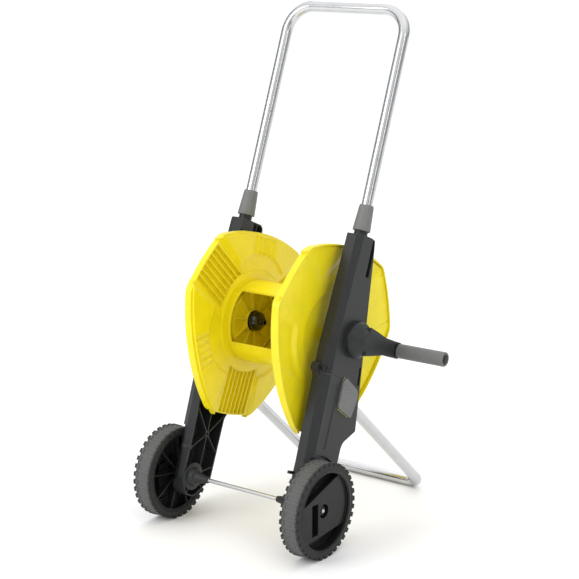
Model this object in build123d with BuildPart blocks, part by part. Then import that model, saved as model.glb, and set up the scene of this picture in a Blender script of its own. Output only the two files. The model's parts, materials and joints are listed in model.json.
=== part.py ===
from build123d import *

import os
from math import atan2, cos, degrees, hypot, radians, sin

os.makedirs("parts", exist_ok=True)

# A garden hose reel cart. X runs along the axles, with the crank at +X. The wheels are at the
# front, the stand is at the back (+Y), and +Z is up. The origin is on the floor, below the
# middle of the wheel axle. Millimetres and degrees.
#
# Both legs lean backwards. Places on a leg are given as (x, w, u) from the wheel axle:
# u runs up the leg, w runs backwards at right angles to it, and x stays the world's X.

# ---- Driving dimensions ------------------------------------------------------------------
LEAN = 21.0  # lean of the legs from upright

WHEEL_R = 81.0
WHEEL_WIDTH = 36.0
WHEEL_GAP = 4.0  # between wheel and the lower part of the leg
TYRE_DEPTH = 13.0
LUG_COUNT = 36

LEG_GAP = 221.0  # between the inner edges of the legs
LEG_DEPTH = 30.5
LEG_FOOT_DEPTH = 24.5  # depth of the leg beside the wheel
LEG_WALL = 2.6
LEG_TOP = 458.0  # u
RIB = 2.0

TUBE_R = 9.5  # handle tube and stand tube
TUBE_WALL = 1.2
HANDLE_TOP = 848.8  # u of the grip bar's centre line
HANDLE_FOOT = 380.0  # u of the tube's lower end, pulled out
HANDLE_TRAVEL = 250.0
HANDLE_BEND_R = 47.0
HANDLE_X = 122.7
HANDLE_W = 2.65

COLLAR_BOTTOM = 465.6  # u
COLLAR_TOP = 509.7
COLLAR_BOTTOM_R = 15.25
COLLAR_TOP_R = 11.6
COLLET_R = 11.6

STAND_X = 122.5
STAND_FLOOR_Y = 373.6
STAND_TOP_W = 21.0
STAND_TOP_U = 200.7
STAND_BEND_R = 27.0

AXLE_R = 3.5
AXLE_BOSS_TIP = 77.0  # x of the inner end of the leg's axle boss
AXLE_BOSS_R = 24.0

DRUM_W = 27.5
DRUM_U = 286.8
BARREL_R = 72.0
BARREL_WALL = 2.5
FLANGE_CORNER_R = 175.0
FLANGE_SHORT_R = 169.5  # middle of the three short edges
FLANGE_LONG_R = 153.0  # middle of the three long edges
FLANGE_SHORT_HALF = 20.0  # half the angle that a short edge spans
FLANGE_SHORT_AT = 132.0  # direction of the first short edge, from +Y towards +Z
FLANGE_FILLET_R = 24.0
FLANGE_TO_LEG = 13.0
FLANGE_DISH = 8.0  # how far the rim stands outside the hub ring
FLANGE_PAD = 8.5  # thickness of the ribbed web
FLANGE_SKIN = 2.4
LIP_DEPTH = 9.0
LIP_WALL = 2.6
HUB_RING_R = 90.0
SLAT_COUNT = 8
SLAT_PITCH = 11.0
SPOKE_COUNT = 10

SHAFT_R = 8.0
WATER_R = 5.0
BUSH_WALL = 2.0

CRANK_BASE_X = 144.6
CRANK_R = 32.0
CRANK_HEIGHT = 23.6
CRANK_REACH = 99.0
CRANK_CAP_R = 14.5
GRIP_R = 12.6
GRIP_LENGTH = 92.0
GRIP_ROOT_X = 168.5

RUN = 0.06  # radial clearance of a running fit
CLEAR = 0.4  # between pieces that only pass each other

# ---- Derived places ------------------------------------------------------------------------
AXLE_Z = WHEEL_R
LEG_IN = LEG_GAP / 2
LEG_OUT = LEG_IN + LEG_DEPTH
FOOT_OUT = LEG_IN + LEG_FOOT_DEPTH
WHEEL_IN = FOOT_OUT + WHEEL_GAP
WHEEL_OUT = WHEEL_IN + WHEEL_WIDTH
ARCH_R = WHEEL_R + 6.0
RIM_R = WHEEL_R - TYRE_DEPTH
RIM_X = LEG_IN - FLANGE_TO_LEG  # x of the flange's outer rim
WEB_X = RIM_X - 7.0 - FLANGE_DISH - FLANGE_PAD / 2  # inner face of the web at the hub ring

S = sin(radians(LEAN))
C = cos(radians(LEAN))


def leg_point(x, w, u):
    """World position of a place on the leg."""
    return Vector(x, u * S + w * C, AXLE_Z + u * C - w * S)


def leg_direction(x, w, u):
    """World direction of a direction given on the leg."""
    return Vector(x, u * S + w * C, u * C - w * S)


def leg_plane(x, w=0.0, u=0.0):
    """Plane square to the axles: its local x is w, its local y is u, and its normal is +X."""
    return Plane(origin=leg_point(x, w, u), x_dir=leg_direction(0, 1, 0), z_dir=(1, 0, 0))


def along_leg(x, w, u):
    """Plane square to the leg's length: its local x is X, its local y is w."""
    return Plane(origin=leg_point(x, w, u), x_dir=(1, 0, 0), z_dir=leg_direction(0, 0, 1))


DRUM = leg_point(0, DRUM_W, DRUM_U)
HANDLE_PLANE = Plane(
    origin=leg_point(0, HANDLE_W, 0), x_dir=(1, 0, 0), z_dir=leg_direction(0, -1, 0)
)  # local x is X, local y is u

# The stand tube runs from its end inside the leg down to the floor.
STAND_TOP = leg_point(STAND_X, STAND_TOP_W, STAND_TOP_U)
STAND_FOOT = Vector(STAND_X, STAND_FLOOR_Y, TUBE_R)
STAND_UP = (STAND_TOP - STAND_FOOT).normalized()
STAND_UP_W = STAND_UP.Y * C - STAND_UP.Z * S
STAND_UP_U = STAND_UP.Y * S + STAND_UP.Z * C
STAND_IN_LEG = 95.0  # length of the tube's socket


def drum_plane(x):
    """Plane square to the drum's axis: its local x is +Y, its local y is +Z."""
    return Plane(origin=(x, DRUM.Y, DRUM.Z), x_dir=(0, 1, 0), z_dir=(1, 0, 0))


def wheel_plane(x):
    """Plane square to the wheel axle: its local x is +Y, its local y is +Z."""
    return Plane(origin=(x, 0, AXLE_Z), x_dir=(0, 1, 0), z_dir=(1, 0, 0))


# Half-sections for turned pieces: local x is +X, local y is the distance from the axis.
DRUM_SECTION = Plane(origin=(0, DRUM.Y, DRUM.Z), x_dir=(1, 0, 0), z_dir=(0, -1, 0))
WHEEL_SECTION = Plane(origin=(0, 0, AXLE_Z), x_dir=(1, 0, 0), z_dir=(0, -1, 0))
DRUM_AXIS = Axis((0, DRUM.Y, DRUM.Z), (1, 0, 0))
WHEEL_AXIS = Axis((0, 0, AXLE_Z), (1, 0, 0))


def save(name, piece):
    """Labels a finished piece and writes its STEP file."""
    piece.part.label = name
    export_step(piece.part, f"parts/{name}.step")


def turned(points, section, axis):
    """A piece turned about an axis from its half-section's (x, r) points."""
    with BuildPart() as piece:
        with BuildSketch(section):
            with BuildLine():
                Polyline(*points, close=True)
            make_face()
        revolve(axis=axis)
    return piece.part


def mirrored(part):
    """The same piece for the other side of the cart."""
    with BuildPart() as piece:
        mirror(part, about=Plane.YZ)
    return piece


# ---- Legs ------------------------------------------------------------------------------------
# Outline of a whole leg: (w, u, corner radius), from the top front corner down the front.
FRONT_TOP = (-19.0, LEG_TOP)
FRONT_BEND = (-31.0, 256.0)
FRONT_LOW = (-25.0, 70.0)
LEG_OUTLINE = [
    (*FRONT_TOP, 2),
    (*FRONT_BEND, 30),
    (*FRONT_LOW, 60),
    (-26.0, -4.0, 14),
    (-10.0, -33.0, 20),
    (16.0, -36.0, 20),
    (52.0, 0.0, 6),
    (54.0, 112.0, 18),
    (94.0, 142.0, 10),
    (107.0, 156.0, 8),
    (106.0, 187.0, 14),
    (73.0, 210.0, 30),
    (43.0, LEG_TOP - 2, 12),
]
BOSS_W = -31.0
BOSS_U = 228.0
BOSS_R = 9.5
SEAM = [(-60.0, 216.0), (-20.0, 220.5), (15.0, 217.5), (68.0, 198.0), (120.0, 182.0)]
SEAM_GAP = 0.3
SLOT_W = (16.5, 26.5)
SLOT_BOTTOM = 392.0
TOWER_W = 14.5
PAD_R = 31.0
HANDLE_STOP = HANDLE_FOOT + 0.4  # underside of the guide that the end plug meets
PLUG_R = TUBE_R + 1.8
BOSS_HOUSING_R = SHAFT_R + BUSH_WALL + 2.5


def bevel_plane(at, along, normal_x, normal_w, inset):
    """Plane of a bevel: through the place at, containing the direction along."""
    normal_u = -normal_w * along[1] / along[2]
    normal = leg_direction(normal_x, normal_w, normal_u).normalized()
    origin = leg_point(*at) - normal * inset
    return Plane(origin=origin, x_dir=leg_direction(*along), z_dir=normal)


FRONT_BEVEL = (7.0, -12.0)  # normal of the front bevel, (x, w)
REAR_BEVEL = (15.0, 12.5)  # normal of the tapering rear bevel, (x, w)


def leg_solid(inset):
    """The leg as a full solid, with every outer face moved inwards by inset."""
    front = LEG_IN + 18.5
    upper_run = (0, FRONT_TOP[0] - FRONT_BEND[0], FRONT_TOP[1] - FRONT_BEND[1])
    lower_run = (0, -3.0, 118.0)
    rear_run = (-11.0, 0, 66.0)
    with BuildPart() as solid:
        with BuildSketch(leg_plane(LEG_IN - inset)):
            with BuildLine():
                points = [(w, u) for w, u, _ in LEG_OUTLINE]
                radii = [r for _, _, r in LEG_OUTLINE]
                FilletPolyline(*points, radius=radii, close=True)
            make_face()
            with Locations((BOSS_W, BOSS_U)):
                Circle(BOSS_R)
            if inset:
                offset(amount=-inset)
        extrude(amount=LEG_DEPTH)
        bevels = [
            bevel_plane((front, *FRONT_BEND), upper_run, *FRONT_BEVEL, inset),
            bevel_plane((front, -27.5, 213.0), lower_run, *FRONT_BEVEL, inset),
        ]
        for plane in bevels:
            with BuildSketch(plane):
                Rectangle(1200, 200)
            extrude(amount=40, mode=Mode.SUBTRACT)
        # The rear bevel grows towards the top of the leg.
        rear_normal = leg_direction(15.0, 12.5, 2.5).normalized()
        rear_at = leg_point(LEG_IN + 15.5, 42.0, 452.0) - rear_normal * inset
        with BuildSketch(Plane(origin=rear_at, z_dir=rear_normal)):
            Rectangle(1200, 1200)
        extrude(amount=60, mode=Mode.SUBTRACT)
        with BuildSketch(leg_plane(FOOT_OUT - inset)):
            Circle(ARCH_R + inset)
        extrude(amount=LEG_DEPTH, mode=Mode.SUBTRACT)
    return solid.part


leg_blank = leg_solid(0)
leg_cavity = leg_solid(LEG_WALL)

# Ribs inside the channel, as (w, u) lines.
RIB_LINES = [
    [(17, 8), (17, 170)],
    [(17, 76), (-30, 128)],
    [(17, 76), (60, 118)],
    [(17, 76), (-30, 40)],
    [(17, 76), (60, 40)],
    [(0, 0), (-40, 30)],
    [(0, 0), (60, -30)],
    [(0, 0), (60, 24)],
    [(0, 0), (-8, -60)],
    [(-35, 250), (60, 330)],
    [(60, 262), (-35, 330)],
    [(-35, 370), (60, 340)],
    [(DRUM_W, DRUM_U), (DRUM_W, 440)],
    [(TOWER_W + 1, SLOT_BOTTOM - 20), (TOWER_W + 1, LEG_TOP + 10)],
    [(SLOT_W[1] + 1, SLOT_BOTTOM - 20), (SLOT_W[1] + 1, LEG_TOP + 10)],
    [(SLOT_W[0] - 3, SLOT_BOTTOM - 4), (SLOT_W[1] + 3, SLOT_BOTTOM - 4)],
]

with BuildPart() as leg_ribs:
    with BuildSketch(leg_plane(LEG_IN + 1.5)):
        for start, end in RIB_LINES:
            with BuildLine() as rib_line:
                Line(start, end)
            trace(rib_line.line, line_width=RIB)
        with Locations((17, 76)):
            Circle(5)
        with Locations((FRONT_LOW[0] + 4, 49)):
            Circle(4)
    extrude(amount=LEG_DEPTH)
    # The handle tube and its end plug slide down through the ribs.
    with BuildSketch(along_leg(HANDLE_X, HANDLE_W, HANDLE_FOOT - HANDLE_TRAVEL - 6)):
        Circle(PLUG_R + CLEAR)
    extrude(amount=HANDLE_TRAVEL + 6, mode=Mode.SUBTRACT)
    with BuildSketch(leg_plane(LEG_IN)):
        with Locations((17, 76)):
            Circle(2.5)
    extrude(amount=LEG_DEPTH / 2, mode=Mode.SUBTRACT)

with BuildPart() as leg_blocks:
    # Block at the top that holds the collet, and the guide that the tube slides in.
    for bottom, top in [(LEG_TOP - 20, LEG_TOP), (HANDLE_STOP, HANDLE_STOP + 6)]:
        with BuildSketch(along_leg(HANDLE_X, 0, bottom)):
            with Locations((2, -3)):
                Rectangle(2 * (HANDLE_X - LEG_IN) + 8, 2 * (TOWER_W + 4))
        extrude(amount=top - bottom)
    # Block around the stand tube.
    stand_frame = Plane(origin=STAND_TOP + STAND_UP * 2.5, x_dir=(1, 0, 0), z_dir=-STAND_UP)
    with BuildSketch(stand_frame):
        Rectangle(2 * TUBE_R + 30, 2 * TUBE_R + 5.4)
    extrude(amount=STAND_IN_LEG + 20)
    # Housing of the drum's bearing.
    with BuildSketch(leg_plane(LEG_IN + 1, DRUM_W, DRUM_U)):
        Circle(BOSS_HOUSING_R)
    extrude(amount=LEG_DEPTH)
    # Cup around the axle boss, boss of the joint screws.
    with BuildSketch(leg_plane(LEG_IN)):
        Circle(AXLE_BOSS_R)
        with Locations((BOSS_W, BOSS_U)):
            Circle(BOSS_R)
    extrude(amount=LEG_DEPTH)
    with BuildSketch(leg_plane(LEG_IN + 3)):
        Circle(AXLE_BOSS_R - 2.5)
        Circle(AXLE_R + 5, mode=Mode.SUBTRACT)
    extrude(amount=LEG_DEPTH, mode=Mode.SUBTRACT)
    add(leg_blank, mode=Mode.INTERSECT)

# Catch of the stand: it rocks on a pin that runs along the leg, over the stand tube.
CATCH_OUTLINE = [(21, 222), (63, 205), (68, 192), (59, 156), (16, 169), (15, 213)]
CATCH_CORNERS = [5, 8, 8, 5, 6, 3]  # their radii
CATCH_TOP_X = LEG_OUT + 4.0
CATCH_THICK = 4.8
CATCH_GAP = 1.25
CATCH_PIN_R = 1.5
CATCH_PIN_W = 45.0
CATCH_POST_R = 2.2
CATCH_POST_REACH = 15.0
CATCH_ROCK = 8.0
SOCKET_TOP = STAND_X + TUBE_R + 2.4
CATCH_PIN_X = SOCKET_TOP + 2.8
pin_along = (STAND_TOP_W - CATCH_PIN_W) / STAND_UP_W
CATCH_PIN_U = STAND_TOP_U - pin_along * STAND_UP_U
CATCH_PLANE_X = leg_direction(0, STAND_UP_W, STAND_UP_U)
CATCH_PIN_AT = leg_point(0, CATCH_PIN_W, CATCH_PIN_U)


def catch_plane(x):
    """Plane over the catch's pin: local x runs up the stand tube, the normal is +X."""
    origin = (x, CATCH_PIN_AT.Y, CATCH_PIN_AT.Z)
    return Plane(origin=origin, x_dir=CATCH_PLANE_X, z_dir=(1, 0, 0))


with BuildPart() as leg_right:
    add(leg_blank)
    add(leg_cavity, mode=Mode.SUBTRACT)
    add(leg_ribs.part & leg_blank)
    add(leg_blocks.part)
    # Round seat under the crank's dome.
    with BuildSketch(leg_plane(LEG_OUT - LEG_WALL, DRUM_W, DRUM_U)):
        Circle(PAD_R)
    extrude(amount=CRANK_BASE_X - CLEAR - LEG_OUT + LEG_WALL)
    # Axle boss: a stepped cone towards the middle of the cart.
    add(
        turned(
            [
                (AXLE_BOSS_TIP, 0),
                (AXLE_BOSS_TIP, 5.8),
                (LEG_IN - 26, 7),
                (LEG_IN - 12, 11),
                (LEG_IN - 9, 15),
                (LEG_IN - 3, 17),
                (LEG_IN - 2, AXLE_BOSS_R),
                (LEG_IN + 3, AXLE_BOSS_R),
                (LEG_IN + 3, 0),
            ],
            WHEEL_SECTION,
            WHEEL_AXIS,
        )
    )
    # Bores: axle, drum bush, collet, handle guide, stand tube and the joint screw.
    with BuildSketch(leg_plane(0)):
        Circle(AXLE_R + RUN)
    extrude(amount=LEG_OUT + 10, mode=Mode.SUBTRACT)
    with BuildSketch(leg_plane(LEG_IN, DRUM_W, DRUM_U)):
        Circle(SHAFT_R + BUSH_WALL)
    extrude(amount=LEG_DEPTH + 10, mode=Mode.SUBTRACT)
    with BuildSketch(along_leg(HANDLE_X, HANDLE_W, LEG_TOP - 18)):
        Circle(COLLET_R)
    extrude(amount=30, mode=Mode.SUBTRACT)
    with BuildSketch(along_leg(HANDLE_X, HANDLE_W, HANDLE_STOP - 1)):
        Circle(TUBE_R + CLEAR)
    extrude(amount=LEG_TOP - HANDLE_STOP, mode=Mode.SUBTRACT)
    with BuildSketch(Plane(origin=STAND_TOP, z_dir=-STAND_UP)):
        Circle(TUBE_R + RUN)
    extrude(amount=STAND_IN_LEG + 60, mode=Mode.SUBTRACT)
    # Slot between the tower and the rear lip.
    with BuildSketch(leg_plane(LEG_IN + 6)):
        with Locations(((SLOT_W[0] + SLOT_W[1]) / 2, (SLOT_BOTTOM + LEG_TOP) / 2 + 10)):
            Rectangle(SLOT_W[1] - SLOT_W[0], LEG_TOP - SLOT_BOTTOM + 20)
    extrude(amount=LEG_DEPTH, mode=Mode.SUBTRACT)
    # Slot beside the catch, and the catch's pocket.
    with BuildSketch(leg_plane(LEG_OUT - 6)):
        with BuildLine():
            Polyline((58, 244), (64, 244), (68, 214), (62, 212), close=True)
        make_face()
    extrude(amount=12, mode=Mode.SUBTRACT)
    with BuildSketch(leg_plane(SOCKET_TOP)):
        with BuildLine():
            FilletPolyline(*CATCH_OUTLINE, radius=CATCH_CORNERS, close=True)
        make_face()
        offset(amount=CATCH_GAP)
    extrude(amount=LEG_DEPTH, mode=Mode.SUBTRACT)
    # Long shallow panel on the outer face.
    with BuildSketch(leg_plane(LEG_OUT - 1)):
        with Locations((-4, 152)):
            RectangleRounded(24, 112, 4)
    extrude(amount=2, mode=Mode.SUBTRACT)
    # Saddles of the catch's pin.
    with BuildSketch(catch_plane(SOCKET_TOP - 0.2)):
        with Locations((0, 10), (0, -10)):
            Rectangle(5, 4)
    extrude(amount=CATCH_PIN_X - SOCKET_TOP + 2.0)
    with BuildSketch(Plane(origin=catch_plane(CATCH_PIN_X).origin, z_dir=catch_plane(0).y_dir)):
        Circle(CATCH_PIN_R)
    extrude(amount=14, both=True, mode=Mode.SUBTRACT)
    # Hole for the catch's post.
    with BuildSketch(catch_plane(STAND_X)):
        with Locations((CATCH_POST_REACH, 0)):
            Circle(CATCH_POST_R + 1.6)
    extrude(amount=LEG_DEPTH, mode=Mode.SUBTRACT)

# The leg is two mouldings. The screw boss is shared: its inner half belongs to the lower one.
SPLIT_X = LEG_IN + 13.0
SCREW_R = 1.9
SCREW_HEAD_R = 4.0
TONGUE_W = 29.0
TONGUE_U = 236.0
TONGUE_FOOT = 211.2


def seam_region(above):
    """Corners of the region of the leg above or below the seam."""
    shift = SEAM_GAP / 2 if above else -SEAM_GAP / 2
    far = 600.0 if above else -200.0
    return [(w, u + shift) for w, u in SEAM] + [(SEAM[-1][0], far), (SEAM[0][0], far)]


with BuildPart() as upper_leg_right:
    add(leg_right.part)
    with BuildSketch(leg_plane(0)):
        with BuildLine():
            Polyline(*seam_region(above=True), close=True)
        make_face()
    extrude(amount=LEG_OUT + 20, mode=Mode.INTERSECT)
    with BuildSketch(leg_plane(LEG_IN - 1)):
        with Locations((BOSS_W, BOSS_U)):
            Circle(BOSS_R + CLEAR)
    extrude(amount=SPLIT_X - LEG_IN + 1 + CLEAR, mode=Mode.SUBTRACT)
    # Boss that the tongue is screwed to.
    with BuildSketch(leg_plane(LEG_IN + 13.2, TONGUE_W, TONGUE_U)):
        Circle(4.5)
    extrude(amount=LEG_DEPTH - 13.2 - LEG_WALL / 2)
    with BuildSketch(leg_plane(LEG_IN, TONGUE_W, TONGUE_U)):
        Circle(SCREW_R)
    extrude(amount=LEG_DEPTH - 6, mode=Mode.SUBTRACT)
    with BuildSketch(leg_plane(LEG_IN, BOSS_W, BOSS_U)):
        Circle(SCREW_R)
    extrude(amount=LEG_DEPTH, mode=Mode.SUBTRACT)
    with BuildSketch(leg_plane(SPLIT_X + 8, BOSS_W, BOSS_U)):
        Circle(SCREW_HEAD_R + 1)
    extrude(amount=LEG_DEPTH, mode=Mode.SUBTRACT)
save("upper_leg_right", upper_leg_right)

with BuildPart() as lower_leg_right:
    add(leg_right.part)
    with BuildSketch(leg_plane(0)):
        with BuildLine():
            Polyline(*seam_region(above=False), close=True)
        make_face()
    extrude(amount=LEG_OUT + 20, mode=Mode.INTERSECT)
    # Inner half of the screw boss, joined to the front wall.
    with BuildSketch(leg_plane(LEG_IN)):
        with Locations((BOSS_W, BOSS_U)):
            Circle(BOSS_R)
        with BuildLine():
            Polyline(
                (BOSS_W - 6, BOSS_U), (BOSS_W + 9, BOSS_U), (-22, 205), (-27.4, 205), close=True
            )
        make_face()
    extrude(amount=SPLIT_X - LEG_IN)
    # Tongue that stands up behind the upper leg's boss.
    with BuildSketch(leg_plane(LEG_IN + 10)):
        with Locations((TONGUE_W, TONGUE_U + 6)):
            Rectangle(12, TONGUE_U + 6 - TONGUE_FOOT, align=(Align.CENTER, Align.MAX))
    extrude(amount=3)
    with BuildSketch(leg_plane(LEG_IN - 1)):
        with Locations((BOSS_W, BOSS_U), (TONGUE_W, TONGUE_U)):
            Circle(SCREW_R)
    extrude(amount=SPLIT_X - LEG_IN + 2, mode=Mode.SUBTRACT)
    # Small forward tab.
    with BuildSketch(leg_plane(LEG_IN)):
        with Locations((FRONT_LOW[0] - 7, 50)):
            Rectangle(18, 5)
    extrude(amount=4)
save("lower_leg_right", lower_leg_right)

save("upper_leg_left", mirrored(upper_leg_right.part))
save("lower_leg_left", mirrored(lower_leg_right.part))

# ---- Screws, bushes and pins of the frame ---------------------------------------------------
with BuildPart() as leg_screws:
    for w, u, head_x, reach in [
        (BOSS_W, BOSS_U, SPLIT_X + 8.0, -18.0),
        (TONGUE_W, TONGUE_U, LEG_IN + 10.0, 13.0),
    ]:
        with BuildSketch(leg_plane(head_x, w, u)):
            Circle(SCREW_R)
        extrude(amount=reach)
        with BuildSketch(leg_plane(head_x, w, u)):
            Circle(SCREW_HEAD_R)
            RegularPolygon(1.8, 6, mode=Mode.SUBTRACT)
        extrude(amount=2.4 if reach < 0 else -2.4)
    mirror(about=Plane.YZ)
save("leg_screws", leg_screws)

AXLE_END = WHEEL_OUT - 6.0
with BuildPart() as wheel_axle:
    with BuildSketch(wheel_plane(-AXLE_END)):
        Circle(AXLE_R)
    extrude(amount=2 * AXLE_END)
    chamfer(wheel_axle.edges().filter_by(GeomType.CIRCLE), 0.8)
save("wheel_axle", wheel_axle)

with BuildPart() as axle_ring_right:
    with BuildSketch(wheel_plane(AXLE_BOSS_TIP - 3.0)):
        Circle(5.4)
        Circle(AXLE_R + RUN, mode=Mode.SUBTRACT)
    extrude(amount=3.0)
    fillet(axle_ring_right.edges().group_by(Axis.X)[0].sort_by(SortBy.RADIUS)[-1], 1.2)
save("axle_ring_right", axle_ring_right)
save("axle_ring_left", mirrored(axle_ring_right.part))

CAP_X = WHEEL_OUT - 11.0
with BuildPart() as axle_caps:
    with BuildSketch(wheel_plane(CAP_X)):
        Circle(7.4)
        Circle(AXLE_R, mode=Mode.SUBTRACT)
    extrude(amount=2.4)
    with BuildSketch(wheel_plane(CAP_X + 1.0)):
        with PolarLocations(7.4, 6):
            Rectangle(4, 1.2)
    extrude(amount=2.0, mode=Mode.SUBTRACT)
    mirror(about=Plane.YZ)
save("axle_caps", axle_caps)

with BuildPart() as drum_bush_right:
    with BuildSketch(leg_plane(LEG_IN + 1, DRUM_W, DRUM_U)):
        Circle(SHAFT_R + BUSH_WALL - 0.03)
    extrude(amount=CRANK_BASE_X - CLEAR - LEG_IN - 1)
    with BuildSketch(leg_plane(LEG_IN + 1, DRUM_W, DRUM_U)):
        Circle(BOSS_HOUSING_R)
    extrude(amount=-2)
    with BuildSketch(leg_plane(LEG_IN - 5, DRUM_W, DRUM_U)):
        Circle(SHAFT_R + RUN)
    extrude(amount=LEG_DEPTH + 20, mode=Mode.SUBTRACT)
save("drum_bush_right", drum_bush_right)
save("drum_bush_left", mirrored(drum_bush_right.part))

# ---- Handle ------------------------------------------------------------------------------------
HANDLE_AXIS = Axis(leg_point(HANDLE_X, HANDLE_W, 0), leg_direction(0, 0, 1))
HANDLE_SECTION = Plane(
    origin=leg_point(HANDLE_X, HANDLE_W, 0), x_dir=(1, 0, 0), z_dir=leg_direction(0, -1, 0)
)  # local x is the distance from the tube's axis, local y is u
COLLET_TOP = COLLAR_TOP - 12.5

with BuildPart() as collet_right:
    add(
        turned(
            [
                (TUBE_R + RUN, LEG_TOP - 18),
                (COLLET_R - 0.05, LEG_TOP - 18),
                (COLLET_R - 0.05, COLLET_TOP - 9),
                (COLLET_R - 1.3, COLLET_TOP),
                (TUBE_R + RUN, COLLET_TOP),
            ],
            HANDLE_SECTION,
            HANDLE_AXIS,
        )
    )
    with BuildSketch(along_leg(HANDLE_X, HANDLE_W, COLLAR_BOTTOM + 5)):
        Rectangle(3 * COLLET_R, 1.2)
        Rectangle(1.2, 3 * COLLET_R)
    extrude(amount=COLLAR_TOP - COLLAR_BOTTOM, mode=Mode.SUBTRACT)
save("collet_right", collet_right)
save("collet_left", mirrored(collet_right.part))

with BuildPart() as clamp_collar_right:
    add(
        turned(
            [
                (COLLET_R + CLEAR, COLLAR_BOTTOM),
                (COLLAR_BOTTOM_R - 0.6, COLLAR_BOTTOM),
                (COLLAR_BOTTOM_R, COLLAR_BOTTOM + 1),
                (COLLAR_TOP_R + 0.9, COLLAR_TOP - 3),
                (COLLAR_TOP_R, COLLAR_TOP),
                (TUBE_R + CLEAR, COLLAR_TOP),
                (TUBE_R + CLEAR, COLLET_TOP + 0.8),
                (COLLET_R - 1.3 + CLEAR, COLLET_TOP + 0.5),
                (COLLET_R + CLEAR, COLLET_TOP - 9),
            ],
            HANDLE_SECTION,
            HANDLE_AXIS,
        )
    )
    # Finger flutes that run out towards the narrow top.
    with BuildSketch(along_leg(HANDLE_X, HANDLE_W, COLLAR_BOTTOM + 2)):
        with PolarLocations(COLLAR_BOTTOM_R + 1.6, 12, start_angle=15):
            Circle(2.4)
    extrude(amount=COLLAR_TOP - COLLAR_BOTTOM - 14, mode=Mode.SUBTRACT)
save("clamp_collar_right", clamp_collar_right)
save("clamp_collar_left", mirrored(clamp_collar_right.part))


def bent_tube(path):
    """Round tube along a line of runs and arcs."""
    start = Plane(origin=path @ 0, z_dir=path % 0)
    with BuildPart() as tube:
        with BuildSketch(start):
            Circle(TUBE_R)
            Circle(TUBE_R - TUBE_WALL, mode=Mode.SUBTRACT)
        sweep(path=path)
    return tube


with BuildLine(HANDLE_PLANE) as handle_line:
    FilletPolyline(
        (-HANDLE_X, HANDLE_FOOT),
        (-HANDLE_X, HANDLE_TOP),
        (HANDLE_X, HANDLE_TOP),
        (HANDLE_X, HANDLE_FOOT),
        radius=HANDLE_BEND_R,
    )
save("handle_tube", bent_tube(handle_line.line))

with BuildPart() as handle_plugs:
    add(
        turned(
            [
                (0, HANDLE_FOOT - 3),
                (PLUG_R - 0.6, HANDLE_FOOT - 3),
                (PLUG_R, HANDLE_FOOT - 2.4),
                (PLUG_R, HANDLE_FOOT),
                (TUBE_R - TUBE_WALL, HANDLE_FOOT),
                (TUBE_R - TUBE_WALL - 0.2, HANDLE_FOOT + 14),
                (0, HANDLE_FOOT + 14),
            ],
            HANDLE_SECTION,
            HANDLE_AXIS,
        )
    )
    mirror(about=Plane.YZ)
save("handle_plugs", handle_plugs)

# ---- Stand and its catches ---------------------------------------------------------------------
with BuildLine() as stand_line:
    FilletPolyline(
        STAND_TOP,
        STAND_FOOT,
        Vector(-STAND_FOOT.X, STAND_FOOT.Y, STAND_FOOT.Z),
        Vector(-STAND_TOP.X, STAND_TOP.Y, STAND_TOP.Z),
        radius=STAND_BEND_R,
    )
stand_tube = bent_tube(stand_line.line)
with BuildPart() as stand_with_holes:
    add(stand_tube.part)
    with BuildSketch(catch_plane(STAND_X)):
        with Locations((CATCH_POST_REACH, 0)):
            Circle(CATCH_POST_R + 1.6)
    cutters = extrude(amount=20, mode=Mode.PRIVATE)
    add(cutters, mode=Mode.SUBTRACT)
    mirror(cutters, about=Plane.YZ, mode=Mode.SUBTRACT)
save("stand_tube", stand_with_holes)

PIN_FRAME = Plane(origin=catch_plane(CATCH_PIN_X).origin, z_dir=catch_plane(0).y_dir)
with BuildPart() as catch_pins:
    with BuildSketch(PIN_FRAME):
        Circle(CATCH_PIN_R)
    extrude(amount=13.5, both=True)
    mirror(about=Plane.YZ)
save("catch_pins", catch_pins)

with BuildPart() as stand_catch_right:
    with BuildSketch(leg_plane(CATCH_TOP_X - CATCH_THICK)):
        with BuildLine():
            FilletPolyline(*CATCH_OUTLINE, radius=CATCH_CORNERS, close=True)
        make_face()
    extrude(amount=CATCH_THICK)
    fillet(stand_catch_right.edges().group_by(Axis.X)[-1], 1.2)
    # Lug on the pin, and the post that drops into the stand tube's hole.
    with BuildSketch(PIN_FRAME):
        Circle(CATCH_PIN_R + 1.0)
    extrude(amount=7, both=True)
    with BuildSketch(catch_plane(CATCH_PIN_X)):
        Rectangle(2 * CATCH_PIN_R + 2, 14)
    extrude(amount=CATCH_TOP_X - CATCH_THICK - CATCH_PIN_X + 0.5)
    with BuildSketch(PIN_FRAME):
        Circle(CATCH_PIN_R + RUN)
    extrude(amount=8, both=True, mode=Mode.SUBTRACT)
    with BuildSketch(catch_plane(STAND_X + TUBE_R - TUBE_WALL - 0.2)):
        with Locations((CATCH_POST_REACH, 0)):
            Circle(CATCH_POST_R)
    extrude(amount=CATCH_TOP_X - CATCH_THICK - STAND_X - TUBE_R + TUBE_WALL + 0.6)
save("stand_catch_right", stand_catch_right)
save("stand_catch_left", mirrored(stand_catch_right.part))

# ---- Drum ----------------------------------------------------------------------------------------
SHORT_ANGLES = [FLANGE_SHORT_AT + 120 * i for i in range(3)]
WEB_SLOPE = FLANGE_DISH / (FLANGE_CORNER_R - HUB_RING_R)
END_WALL_X = WEB_X + 2.0
BARREL_END = END_WALL_X - 0.1
WEB_NEAR_R = HUB_RING_R - 6.0
WEB_FAR_R = FLANGE_CORNER_R + 30.0
CONNECTOR_R = 17.0
SPOKE_RING_R = 60.0
SPOKE_DEPTH = 7.0
WINDOW_HALF_X = 70.0
WINDOW_FROM = 121.0  # angles of the window's edges, from +Y towards +Z
WINDOW_TO = 199.0


def polar(radius, angle):
    return (radius * cos(radians(angle)), radius * sin(radians(angle)))


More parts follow.
